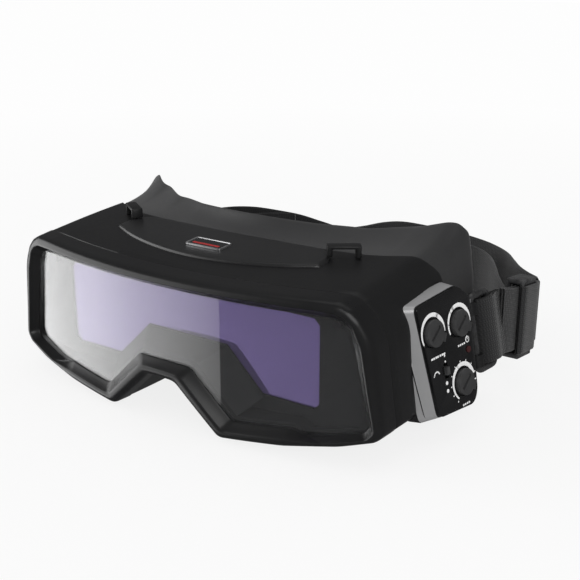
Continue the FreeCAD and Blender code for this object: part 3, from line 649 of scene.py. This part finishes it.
up = bmesh.ops.extrude_face_region(bm, geom=[strip])["geom"]
bmesh.ops.translate(bm, vec=(0, 0, 0.1 * MM), verts=[g for g in up if isinstance(g, bmesh.types.BMVert)])
settle("crown_badge_stripe", bm, badge_red, "root", (), 30)

# ---- Hood loops. Two square staples moulded at the back corners of the crown, where a fabric hood is hooked on.
for word in ("left", "right"):
    settle("hood_staple_" + word, rounded_copy("hood_loop_" + word, 0.45), shell_plastic, "root",
           ["hood_loop_" + word], 40, recalc=False)

# ---- Face seal. Soft rubber pulled over the carrier: it leaves the shell close and low, then sweeps out
# like a trumpet to a rolled rim that bears on the brow and cheeks.
seal_rubber = moulded("seal_rubber", (0.020, 0.020, 0.021), (0.09, 0.09, 0.09), 0.52, 0.10, 1400.0, 0.25, 0.12)
seal_rubber.node_tree.nodes["Principled BSDF"].inputs["Sheen Weight"].default_value = 0.15
seal_rubber.node_tree.nodes["Principled BSDF"].inputs["Sheen Roughness"].default_value = 0.5
rim_half = [(0, 39.6), (30, 38.2), (47, 37.2), (66, 38.2), (76.5, 40.4), (81.4, 39.6), (84.6, 35.4), (86.4, 16),
            (86.6, 0), (84.6, -26), (81.6, -29.4), (71, -31.2), (52, -32.8), (33, -34.2), (15, -5.0), (0, -4.4)]
rim_trace = half_trace(rim_half, [0, 60, 60, 40, 9, 8, 9, 40, 60, 6, 6, 30, 40, 6, 8, 0], shell_runs)


def back_of_seal(x):
    """Depth of the seal's free edge, sweeping back from the brow to the temples."""
    return 43.0 + 40.0 * (x / 88.0) ** 1.75


def seal_ring(share, flare, inset=0.0):
    neck = shell_row(back_of_shell, back_of_seal, share, 0.9)
    row = [Vector((p.x + (r.x - p.x) * flare, p.y, p.z + (r.y - p.z) * flare)) for p, r in zip(neck, rim_trace)]
    return drawn_in(row, inset) if inset else row


seal_steps = [(-0.04, 0.0), (0.04, 0.0), (0.2, 0.03), (0.36, 0.09), (0.5, 0.18), (0.64, 0.33), (0.76, 0.52),
              (0.86, 0.73), (0.93, 0.89), (0.97, 0.98)]
rolled = [(0.99, 1.03, 0.1), (1.0, 1.04, 0.8), (1.0, 1.03, 1.7), (0.985, 0.98, 2.4)]
bm = bmesh.new()
rings = [whole_ring(seal_ring(s, f)) for s, f in seal_steps]
rings += [whole_ring(seal_ring(s, f, i)) for s, f, i in rolled]
rings += [whole_ring(seal_ring(s, f, 2.6)) for s, f in reversed(seal_steps[1:-1])]
swept(bm, rings, closed=True)
free_part = [v for v in bm.verts if v.co.y / MM + datum_back > eased(shell_back, abs(v.co.x) / MM) + 4.0]
for _ in range(7):
    bmesh.ops.smooth_vert(bm, verts=free_part, factor=0.5, use_axis_x=True, use_axis_y=True, use_axis_z=True)
settle("face_seal_skin", bm, seal_rubber, "root", ["face_seal"], 60)

# ---- Control pod and battery pod. Each is a bevelled box on the temple whose front and top bevels are coloured light grey, a painted highlight.
# The left one holds the dials under a gloss faceplate, the right one the coin cell under a sliding door.
pod_back, pod_up, pod_out = Vector((0.13986, 0.99017, 0)), Vector((-0.21279, 0.03006, 0.97663)), Vector(
    (0.96704, -0.13660, 0.21491))


def pod(x, y, out):
    """A point in the left pod's frame: back along the head, up the face, and out of it."""
    return at(*(Vector((97, 40, 0)) + pod_back * x + pod_up * y + pod_out * out))


def ring_trace(corners, radius, steps=4):
    """A closed outline with every corner rounded alike."""
    traced = []
    for i, corner in enumerate(corners):
        b = Vector(corner)
        before, after = Vector(corners[i - 1]) - b, Vector(corners[(i + 1) % len(corners)]) - b
        reach = min(radius, 0.45 * before.length, 0.45 * after.length)
        start, stop = b + before.normalized() * reach, b + after.normalized() * reach
        traced += [start * (1 - u) ** 2 + b * 2 * u * (1 - u) + stop * u * u
                   for u in (k / steps for k in range(steps + 1))]
    return traced


def spread(outline, by):
    """A closed outline moved outwards."""
    middle = sum(outline, Vector((0, 0))) / len(outline)
    return [p + (p - middle).normalized() * by for p in outline]


def capped(bm, chain):
    """Close an end of a swept tube."""
    bm.faces.new(chain)


facet_foot = ring_trace([(-25.2, 23.2), (8.8, 25.2), (17.0, 18.0), (14.4, -21.0), (10.6, -25.4),
                         (-17.6, -24.2)], 2.6)
facet_top = ring_trace([(-18.6, 21.4), (8.4, 23.4), (16.0, 17.2), (13.4, -20.0), (10.0, -24.2),
                        (-13.4, -22.4)], 2.6)
pod_bevel_painted_highlight = moulded("pod_bevel_painted_highlight", (0.42, 0.42, 0.425), (0.52, 0.52, 0.52), 0.36, 0.08, 2000.0, 0.3, 0.05)
pod_bevel_painted_highlight.node_tree.nodes["Principled BSDF"].inputs["Metallic"].default_value = 0.35
gloss_face = moulded("gloss_face", (0.006, 0.006, 0.0065), (0.03, 0.03, 0.03), 0.13, 0.05, 2400.0, 0.2, 0.02)
for sign, word in ((1, "control"), (-1, "battery")):
    bm = bmesh.new()
    levels = [(facet_foot, 0.0, -12.5), (facet_foot, 0.0, -7.4), (facet_foot, -0.15, -6.9),
              (facet_top, 0.35, -1.35),
              (facet_top, 0.1, -0.95), (facet_top, -0.9, -0.95), (facet_top, -0.9, -4.0)]
    rings = [[pod(p.x, p.y, out) for p in (spread(line, by) if by else line)] for line, by, out in levels]
    inner = [(facet_foot, -1.9, -4.6), (facet_foot, -1.9, -11.6)]
    rings += [[pod(p.x, p.y, out) for p in spread(line, by)] for line, by, out in inner]
    capped(bm, swept(bm, rings, closed=True))
    bmesh.ops.holes_fill(bm, edges=[e for e in bm.edges if e.is_boundary])
    for f in bm.faces:
        place = f.calc_center_median()
        local = place - pod(0, 0, 0)
        back, up = local.dot(pod_back) / MM, local.dot(pod_up) / MM
        out = local.dot(pod_out) / MM
        # faces of the front and top bevels take the light grey painted highlight; the rest stay black
        if -7.0 < out < -1.2 and (back < -12.8 - 0.09 * (up + 22) or up > 20.5):
            f.material_index = 1
    settle(word + "_pod_shell", bm, [shell_plastic, pod_bevel_painted_highlight], "root", [word + "_pod_base"], 32,
           mirror=sign < 0)


def faceplate(bm):
    """Round the six upright corners of a copied faceplate, then all its edges a little."""
    corners = [e for e in bm.edges if len(e.link_faces) == 2
               and abs((e.verts[1].co - e.verts[0].co).length - 1.6 * MM)
               < 0.05 * MM and e.calc_face_angle(0.0) > radians(22) and e.is_convex]
    bmesh.ops.bevel(bm, geom=corners, offset=2.4 * MM, offset_type="OFFSET", affect="EDGES",
                    segments=4, profile=0.5,
                    material=-1)
    edges = [e for e in bm.edges if len(e.link_faces) == 2 and e.calc_face_angle(0.0) > radians(50)]
    bmesh.ops.bevel(bm, geom=edges, offset=0.28 * MM, offset_type="OFFSET", affect="EDGES", segments=2, profile=0.5,
                    clamp_overlap=True, material=-1)
    return bm


settle("control_faceplate", faceplate(rounded_copy("control_pod_face", 0.0001, 1, 179)), gloss_face, "root",
       ["control_pod_face"], 30, recalc=False)
settle("battery_hatch", faceplate(rounded_copy("battery_door", 0.0001, 1, 179)), gloss_face, "battery_cover",
       ["battery_door"], 30, recalc=False)

# Grip ribs on the battery door: five short bars near its foot for the thumb that slides it up.
bm = bmesh.new()
for k in range(5):
    line = ring_trace([(-7.5, -13.6 + 2.2 * k), (6.5, -13.6 + 2.2 * k), (6.5, -12.6 + 2.2 * k),
                       (-7.5, -12.6 + 2.2 * k)], 0.48, 3)
    rings = [[pod(p.x, p.y, out) for p in spread(line, by)] for by, out in ((0.0, -0.1), (0.0, 0.35), (-0.18, 0.5))]
    capped(bm, swept(bm, rings, closed=True))
settle("battery_hatch_ribs", bm, gloss_face, "battery_cover", (), 30, mirror=True)

# Printing on the faceplate: a crescent round each dial, scale ticks, short rules under the names, and icons.
ink = moulded("white_ink", (0.93, 0.93, 0.93), (0.8, 0.8, 0.8), 0.5, 0.05, 1800.0, 0.0, 0.02)
dials = {"sensitivity": (-10.5, 9.8), "delay": (6.6, 9.2), "shade": (4.7, -13.7)}


def printed(bm, outline, rise=0.05):
    face = bm.faces.new([bm.verts.new(pod(x, y, 0.01)) for x, y in outline])
    up = bmesh.ops.extrude_face_region(bm, geom=[face])["geom"]
    bmesh.ops.translate(bm, vec=pod(0, 0, rise) - pod(0, 0, 0),
                        verts=[g for g in up if isinstance(g, bmesh.types.BMVert)])


def crescent(bm, centre, start, stop, thin, thick, radius=7.0):
    count = 26
    outer, inner = [], []
    for k in range(count + 1):
        share = k / count
        angle = radians(start + (stop - start) * share)
        half = (thin + (thick - thin) * sin(pi * min(share * 1.15, 1.0) * 0.5)) / 2
        for line, r in ((outer, radius + half), (inner, radius - half)):
            line.append((centre[0] + r * cos(angle), centre[1] + r * sin(angle)))
    for k in range(count):
        printed(bm, [outer[k], outer[k + 1], inner[k + 1], inner[k]])


def rule(bm, x0, y0, x1, y1, wide=0.45):
    along = (Vector((x1, y1)) - Vector((x0, y0))).normalized() * wide / 2
    side = Vector((-along.y, along.x))
    printed(bm, [(x0 - side.x, y0 - side.y), (x1 - side.x, y1 - side.y), (x1 + side.x, y1 + side.y),
                 (x0 + side.x, y0 + side.y)])


def dot(bm, x, y, r):
    printed(bm, [(x + r * cos(2 * pi * k / 12), y + r * sin(2 * pi * k / 12)) for k in range(12)])


bm = bmesh.new()
for name, (x, y) in dials.items():
    crescent(bm, (x, y), 205 if name != "shade" else 232, -8 if name != "shade" else 10, 0.6, 1.7)
for angle in (232, 205, 178, 150, 122, 95, 68, 40, 12, -16):
    a = radians(angle)
    rule(bm, 4.7 + 7.9 * cos(a), -13.7 + 7.9 * sin(a), 4.7 + 8.6 * cos(a), -13.7 + 8.6 * sin(a), 0.4)
for k, wide in enumerate((1.1, 0.9, 1.2, 0.8, 1.0, 1.2, 0.9)):
    rule(bm, -13.8 + 1.35 * k, 0.45, -13.8 + 1.35 * k + wide, 0.45, 0.75)
for k in range(4):
    rule(bm, 4.0 + 1.3 * k, 0.6, 4.9 + 1.3 * k, 0.6, 0.7)
for k in range(4):
    rule(bm, 2.2 + 1.3 * k, -22.6, 3.1 + 1.3 * k, -22.6, 0.7)
crescent(bm, (-11.6, -6.6), 165, 15, 0.3, 0.6, 1.7)
rule(bm, -13.6, -6.4, -12.8, -5.7)
crescent(bm, (10.6, 1.6), 400, 50, 0.3, 0.4, 1.1)
rule(bm, 10.6, 1.5, 10.6, 3.1, 0.35)
for y in (-10.9, -14.0):
    dot(bm, -6.1, y, 0.75)
for y in (0.2, -2.0):
    dot(bm, -5.4, y - 0.6, 0.4)
for k in range(2):
    rule(bm, 11.9, -15.0 - 1.3 * k, 13.2, -15.0 - 1.3 * k, 0.5)
settle("faceplate_printing", bm, ink, "root", (), 30)

# ---- Dials. Soft-touch grey caps with a screwdriver slot and a pointer lobe, each on its potentiometer's shaft.
knob_plastic = moulded("knob_plastic", (0.034, 0.034, 0.035), (0.12, 0.12, 0.12), 0.42, 0.08, 2200.0, 0.5, 0.08)
for name in dials:
    settle("dial_" + name, rounded_copy("knob_" + name, 0.28), knob_plastic, name + "_knob", ["knob_" + name],
           32, recalc=False)
node_finish(knob_plastic, "range_switch")
pot_finish = moulded("pot_finish", (0.02, 0.02, 0.022), (0.1, 0.1, 0.1), 0.5)
node_finish(pot_finish, "potentiometer_sensitivity", "potentiometer_delay", "potentiometer_shade", "switch_body")
board_green = moulded("board_green", (0.01, 0.06, 0.025), (0.05, 0.1, 0.06), 0.4, 0.1, 1500.0, 0.2, 0.05)
node_finish(board_green, "circuit_board")
ribbon_tan = moulded("ribbon_tan", (0.35, 0.18, 0.05), (0.4, 0.25, 0.1), 0.35)
node_finish(ribbon_tan, "ribbon_cable")
cell_steel = moulded("cell_steel", (0.55, 0.55, 0.54), (0.7, 0.7, 0.7), 0.25, 0.15, 2600.0, 0.3, 0.04, Metallic=1.0)
node_finish(cell_steel, "coin_cell")
node_finish(tray_plastic, "battery_tray")
lamp_lens = moulded("lamp_lens", (0.05, 0.012, 0.012), (0.1, 0.05, 0.05), 0.15, 0.02, 1500.0, 0.0, 0.0)
node_finish(lamp_lens, "low_battery_lamp")

# ---- Strap rings and anchors. A bent loop of glossy nylon bar swings on a pin between two lugs behind the pod.
ring_nylon = moulded("ring_nylon", (0.02, 0.02, 0.021), (0.14, 0.14, 0.14), 0.20, 0.06, 2000.0, 0.6, 0.04)
node_finish(shell_plastic, "strap_anchor_left", "strap_anchor_right")
for sign, word in ((1, "left"), (-1, "right")):
    centre_line = ring_trace([(20.2, -14.4), (32.2, -14.4), (32.2, 15.6), (20.2, 15.6)], 2.6, 6)
    bm = bmesh.new()
    rings = []
    for i, p in enumerate(centre_line):
        ahead, back = centre_line[(i + 1) % len(centre_line)], centre_line[i - 1]
        side = Vector((ahead.y - back.y, back.x - ahead.x)).normalized()
        rings.append([pod(p.x + side.x * 1.5 * cos(a), p.y + side.y * 1.5 * cos(a), -3.4 + 1.5 * sin(a))
                      for a in (2 * pi * k / 14 for k in range(14))])
    swept(bm, rings + rings[:1], closed=True)
    settle("swivel_ring_" + word, bm, ring_nylon, "ring_" + word, ["strap_ring_" + word], 50,
           mirror=sign < 0)

# ---- Straps. Woven elastic webbing 30 mm wide: a loop sewn round each ring, a doubled run through the slider,
# a free tail inside, and a single band that hangs in a loose wave round the back of the head.
weave, enters, leaves = effect_group(
    "elastic_weave",
    [("Dark", "NodeSocketColor", (0.008, 0.008, 0.009, 1)), ("Light", "NodeSocketColor", (0.03, 0.03, 0.032, 1)),
     ("Rib", "NodeSocketFloat", 1.1)],
    [("Colour", "NodeSocketColor"), ("Roughness", "NodeSocketFloat"), ("Height", "NodeSocketFloat")])
cloth_map = weave.nodes.new("ShaderNodeUVMap")
cloth_map.uv_map = "webbing"
split = weave.nodes.new("ShaderNodeSeparateXYZ")
weave.links.new(cloth_map.outputs["UV"], split.inputs[0])


def ribs(tree, value, pitch):
    """A row of rounded ribs, 0 to 1, with a pitch in metres."""
    wave = math_node(tree, "SINE", math_node(tree, "MULTIPLY", value, pi / pitch), 0.0)
    return math_node(tree, "ABSOLUTE", wave, 0.0)


across = ribs(weave, split.outputs[0], 0.0013)
shifted = math_node(weave, "ADD", split.outputs[0], math_node(weave, "MULTIPLY", split.outputs[1], 0.55))
along = ribs(weave, split.outputs[1], 0.0009)
twill = ribs(weave, shifted, 0.0011)
body_height = math_node(weave, "MULTIPLY", math_node(weave, "ADD", across, twill), math_node(
    weave, "ADD", math_node(weave, "MULTIPLY", along, 0.6), 0.4))
fluff = noise_of(weave, 900.0, 3.0)
fade = noise_of(weave, 35.0, 3.0)
weave.links.new(math_node(weave, "ADD", math_node(weave, "MULTIPLY", body_height, 0.45),
                          math_node(weave, "MULTIPLY", fluff, 0.25)), leaves.inputs["Height"])
# The colour follows the weave's height: lighter on the rib tops and darker in the grooves. This is partly the
# weave's own pattern and partly painted shade in the grooves, varied in slow patches.
patchy = math_node(weave, "ADD", math_node(weave, "MULTIPLY", fade, 0.6), 0.15)
lit = math_node(weave, "MULTIPLY", body_height, patchy)
weave.links.new(blend_colour(weave, lit, enters.outputs["Dark"], enters.outputs["Light"]),
                leaves.inputs["Colour"])
weave.links.new(math_node(weave, "ADD", 0.72, math_node(weave, "MULTIPLY", fluff, 0.2)),
                leaves.inputs["Roughness"])

webbing = bpy.data.materials.new("webbing")
webbing.use_nodes = True
tree = webbing.node_tree
p = tree.nodes["Principled BSDF"]
cloth = tree.nodes.new("ShaderNodeGroup")
cloth.node_tree = weave
relief = tree.nodes.new("ShaderNodeBump")
relief.inputs["Strength"].default_value = 0.6
relief.inputs["Distance"].default_value = 0.0003
tree.links.new(cloth.outputs["Colour"], p.inputs["Base Color"])
tree.links.new(cloth.outputs["Roughness"], p.inputs["Roughness"])
tree.links.new(cloth.outputs["Height"], relief.inputs["Height"])
tree.links.new(relief.outputs["Normal"], p.inputs["Normal"])
p.inputs["Sheen Weight"].default_value = 0.25
p.inputs["Specular IOR Level"].default_value = 0.25
cloth.inputs["Dark"].default_value = (0.006, 0.006, 0.0065, 1)
cloth.inputs["Light"].default_value = (0.024, 0.024, 0.025, 1)


def smooth_route(points, step):
    """Points every few millimetres on a smooth curve through the given ones."""
    fine = []
    for i in range(len(points) - 1):
        a, b, c, d = (Vector(points[min(max(i + k, 0), len(points) - 1)]) for k in (-1, 0, 1, 2))
        count = max(int((c - b).length / step), 1)
        for k in range(count):
            t = k / count
            fine.append(((2 * b) + (c - a) * t + (2 * a - 5 * b + 4 * c - d) * t * t
                         + (3 * b - a - 3 * c + d) * t ** 3) / 2)
    fine.append(Vector(points[-1]))
    return fine


def webbing_run(bm, route, wide, thick):
    """Webbing on edge along a route of (x, y, middle height), with rounded selvedges and its cloth map."""
    uv = bm.loops.layers.uv.get("webbing") or bm.loops.layers.uv.new("webbing")
    section = [(-0.5, 0.0), (-0.49, 0.35), (-0.47, 0.5), (-0.2, 0.5), (0.2, 0.5), (0.47, 0.5), (0.49, 0.35),
               (0.5, 0.0),
               (0.49, -0.35), (0.47, -0.5), (0.2, -0.5), (-0.2, -0.5), (-0.47, -0.5), (-0.49, -0.35)]
    rings, marks, run = [], {}, 0.0
    for i, p in enumerate(route):
        before, after = route[max(i - 1, 0)], route[min(i + 1, len(route) - 1)]
        along = (Vector((after.x, after.y, 0)) - Vector((before.x, before.y, 0))).normalized()
        side = Vector((along.y, -along.x, 0))
        run += (p - before).length if i else 0.0
        rings.append([at(*(p + side * (s * thick) + Vector((0, 0, h * wide)))) for h, s in section])
        for q, (h, _) in zip(rings[-1], section):
            marks[tuple(round(c, 6) for c in q)] = (run * MM, h * wide * MM)
    first = len(bm.faces)
    last = swept(bm, rings, closed=True)
    capped(bm, last)
    bm.faces.ensure_lookup_table()
    bm.verts.ensure_lookup_table()
    for f in bm.faces[first:]:
        for corner in f.loops:
            corner[uv].uv = marks.get(tuple(round(c, 6) for c in corner.vert.co), (0.0, 0.0))


def side_level(y):
    return -0.9 - 0.15 * (y - 82.2)


for sign, word in ((1, "left"), (-1, "right")):
    # sewn loop round the ring's rear bar, drawn in the pod's frame and swinging with the ring
    bm = bmesh.new()
    uv = bm.loops.layers.uv.new("webbing")
    turn = [(41.0, 1.15), (37.0, 1.3), (34.6, 2.5)] + [
        (32.2 + (9.0 if cos(a) < 0 else 3.3) * cos(a), 3.1 * sin(a)) for a in
            (radians(d) for d in range(60, 301, 20))] + [(34.6, -2.5), (37.0, -1.3), (41.0, -1.15)]
    inside = [(41.0, 0.05), (37.2, 0.15), (34.2, 0.9)] + [
        (32.2 + (7.6 if cos(a) < 0 else 1.75) * cos(a), 1.75 * sin(a)) for a in
              (radians(d) for d in range(60, 301, 20))] + [(34.2, -0.9), (37.2, -0.15), (41.0, -0.05)]
    outline = turn + inside[::-1]
    heights = [-12.6, -12.3, -8, -4, 0.6, 5, 9, 13.5, 13.8]
    rings = [[pod(x, h, -3.4 + n) for x, n in outline] for h in heights]
    last = swept(bm, rings, closed=True)
    for f in bm.faces:
        for corner in f.loops:
            local = corner.vert.co - pod(0, 0, 0)
            corner[uv].uv = (local.dot(pod_back), local.dot(pod_up))
    settle("ring_loop_" + word, bm, webbing, "ring_" + word, ["strap_loop_" + word], 50, mirror=sign < 0)

    # doubled run from the loop through the slider
    bm = bmesh.new()
    for inset in (-0.92, 0.92):
        front = [(99.3 + inset * 0.7, 79.2, 0.2), (99.9 + inset, 84, -1.0)]
        straight = [(100.3 + inset, y, side_level(y)) for y in (90, 97, 104, 110, 116)]
        webbing_run(bm, smooth_route(front + straight, 2.5), 28.6 if inset < 0 else 28.4, 1.55)
    settle("side_strap_" + word, bm, webbing, None, ["strap_side_" + word], 50, mirror=sign < 0)
    side_piece = bpy.data.objects["side_strap_" + word]
    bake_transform(side_piece)

    # the sleeve of webbing sewn over the slider, and the slider's own frame showing above and below it
    bm = bmesh.new()
    sleeve = [(103.6, 89.6, side_level(90)), (104.6, 90.8, side_level(91))] + [
        (104.9, y, side_level(y)) for y in (93, 98, 103)] + [(104.7, 105.6, side_level(105.6)),
                                                             (103.2, 106.7, side_level(106.7))]
    webbing_run(bm, smooth_route(sleeve, 1.0), 30.4, 1.2)
    settle("slider_sleeve_" + word, bm, webbing, "slider_" + word, (), 50, mirror=sign < 0)
    settle("tri_glide_" + word, rounded_copy("strap_slider_" + word, 0.5), ring_nylon, "slider_" + word,
           ["strap_slider_" + word], 45, recalc=False)

    # the free tail, curling inwards behind the slider
    bm = bmesh.new()
    tail = [(95.35, 92.5, -5.5), (93.5, 97, -5.7), (89, 104, -6.0), (83, 114, -6.0), (77, 125, -6.0),
            (69.5, 137, -6.2), (60.5, 146, -6.2), (50, 151.5, -6.2)]
    webbing_run(bm, smooth_route(tail, 2.5), 28.6, 1.5)
    settle("loose_tail_" + word, bm, webbing, "root", ["strap_tail_" + word], 50, mirror=sign < 0)

rear = [(100.3, 116.4, -6.0), (98.9, 118.9, -6.1), (94.6, 121.8, -6.1), (87.5, 128.5, -6.2), (80.8, 137.6, -6.4),
        (74, 147, -6.6), (66, 154.5, -6.8), (56, 161.1, -7.0), (41, 166.5, -7.0),
        (22, 169.3, -6.8), (6, 170.1, -7.0),
        (-6, 170.1, -9.2), (-18, 169.6, -13.0), (-30, 168.4, -15.4), (-42, 166.3, -13.4), (-54, 161.9, -10.2),
        (-66, 154.5, -7.6), (-74, 147, -5.6), (-80.8, 137.6, -4.4), (-87.5, 128.5, -4.6), (-94.6, 121.8, -5.4),
        (-98.9, 118.9, -5.8), (-100.3, 116.4, -6.0)]
bm = bmesh.new()
webbing_run(bm, smooth_route(rear, 2.5), 29.6, 1.7)
settle("rear_strap", bm, webbing, "root", ["strap_rear"], 50)
